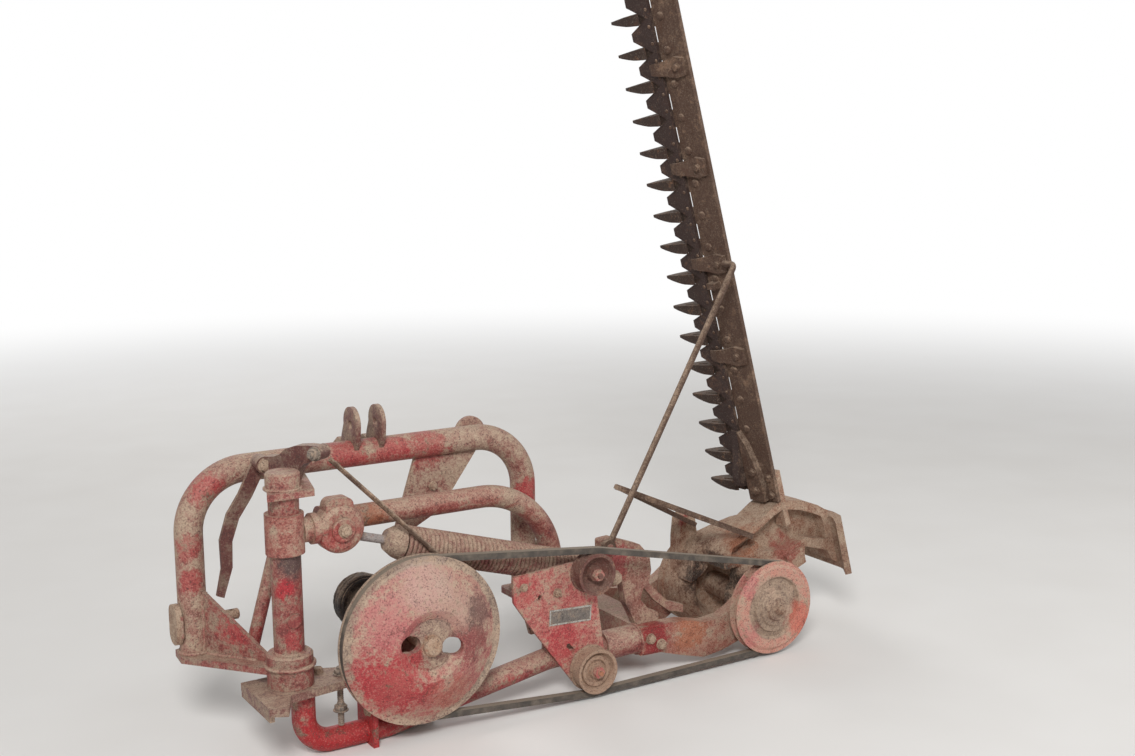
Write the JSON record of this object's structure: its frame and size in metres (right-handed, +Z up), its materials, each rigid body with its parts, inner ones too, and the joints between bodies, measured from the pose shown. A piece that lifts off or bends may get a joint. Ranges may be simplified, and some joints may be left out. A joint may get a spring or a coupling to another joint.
{
  "type": "sickle bar mower",
  "caption": "Three-point mounted sickle bar mower, parked with its cutter bar folded up, with a hoop-shaped hitch frame, a belt drive and a balance spring.",
  "frame": {"origin": "centre of the whole machine's box at the floor", "axes": "+X to the machine's right, where the cutter bar is, +Y forward to the tractor, +Z up"},
  "size_m": [1.6524, 0.422, 2.1375],
  "materials": {
    "faded_red_paint": "faded and chipped red paint under dust",
    "bright_red_paint": "red paint, still bright at its low left end",
    "rusty_casting": "rusty, dusty",
    "rusty_steel": "brown rust",
    "dark_steel": "dark brown rust",
    "bare_steel": "grey, dusty",
    "black_paint": "black, dusty",
    "belt_rubber": "grey with age"
  },
  "bodies": {
    "hitch_frame": {"hitch_hoop": "faded_red_paint", "left_base_plate": "faded_red_paint", "left_gusset": "faded_red_paint", "left_hitch_pin": "rusty_steel", "right_hitch_pin": "rusty_steel", "latch_bracket": "faded_red_paint", "top_link_bracket": "faded_red_paint", "pivot_post": "faded_red_paint", "post_top_bracket": "faded_red_paint", "hoop_brace_plate": "faded_red_paint", "post_strut": "faded_red_paint", "lift_lever": "rusty_casting", "lift_strap": "rusty_steel"},
    "drag_bar": {"drag_tube": "bright_red_paint", "lower_hinge_plate": "faded_red_paint", "upper_knuckle": "faded_red_paint", "goose_neck_tube": "faded_red_paint", "neck_clamp": "faded_red_paint", "bearing_bracket": "faded_red_paint", "idler_plate": "faded_red_paint", "drive_belt": "belt_rubber", "drag_sleeve": "faded_red_paint", "hinge_yoke": "rusty_casting", "spring_crank": "rusty_casting", "balance_spring": "rusty_steel", "spring_plugs": "bare_steel", "trip_rod": "rusty_steel"},
    "sheave": {"drive_sheave": "faded_red_paint", "power_shaft": "black_paint"},
    "pulley": {"driven_pulley": "faded_red_paint"},
    "top_idler": {"upper_idler": "rusty_steel"},
    "bottom_idler": {"lower_idler": "rusty_steel"},
    "bar": {"drive_head": "rusty_casting", "inner_shoe": "rusty_casting", "shoe_skid": "rusty_steel", "cutter_bar": "rusty_steel", "knife_clips": "rusty_casting", "outer_shoe": "rusty_casting", "lift_bail": "rusty_steel"},
    "knife": {"knife": "dark_steel"},
    "stay": {"transport_stay": "rusty_steel"}
  },
  "joints": [
    {"name": "swing_back", "type": "hinge", "parent": "hitch_frame", "child": "drag_bar", "pos_m": [-0.6494, -0.086, 0.139], "axis": [0, 0, 1], "range_deg": [-45, 0]},
    {"name": "bar_fold", "type": "hinge", "parent": "drag_bar", "child": "bar", "pos_m": [0.5156, 0.089, 0.119], "axis": [0, 1, 0], "range_deg": [0, 125]},
    {"name": "knife_stroke", "type": "slide", "parent": "bar", "child": "knife", "axis": [-0.2588, 0, 0.9659], "range_m": [-0.0381, 0.0381]},
    {"name": "stay_swing", "type": "hinge", "parent": "drag_bar", "child": "stay", "pos_m": [0.0906, -0.101, 0.32], "axis": [0, 1, 0], "range_deg": [-80, 0]},
    {"name": "sheave_spin", "type": "hinge", "parent": "drag_bar", "child": "sheave", "pos_m": [-0.3934, -0.161, 0.215], "axis": [0, 1, 0], "continuous": true},
    {"name": "driven_spin", "type": "hinge", "parent": "drag_bar", "child": "pulley", "pos_m": [0.5156, -0.161, 0.119], "axis": [0, 1, 0], "continuous": true},
    {"name": "upper_idler_spin", "type": "hinge", "parent": "drag_bar", "child": "top_idler", "pos_m": [0.0186, -0.161, 0.285], "axis": [0, 1, 0], "continuous": true},
    {"name": "lower_idler_spin", "type": "hinge", "parent": "drag_bar", "child": "bottom_idler", "pos_m": [0.0186, -0.161, 0.066], "axis": [0, 1, 0], "continuous": true}
  ],
  "couplings": [
    {"joint": "driven_spin", "follows": "sheave_spin", "ratio": 1.6244},
    {"joint": "upper_idler_spin", "follows": "sheave_spin", "ratio": 3.3367},
    {"joint": "lower_idler_spin", "follows": "sheave_spin", "ratio": 3.089}
  ]
}
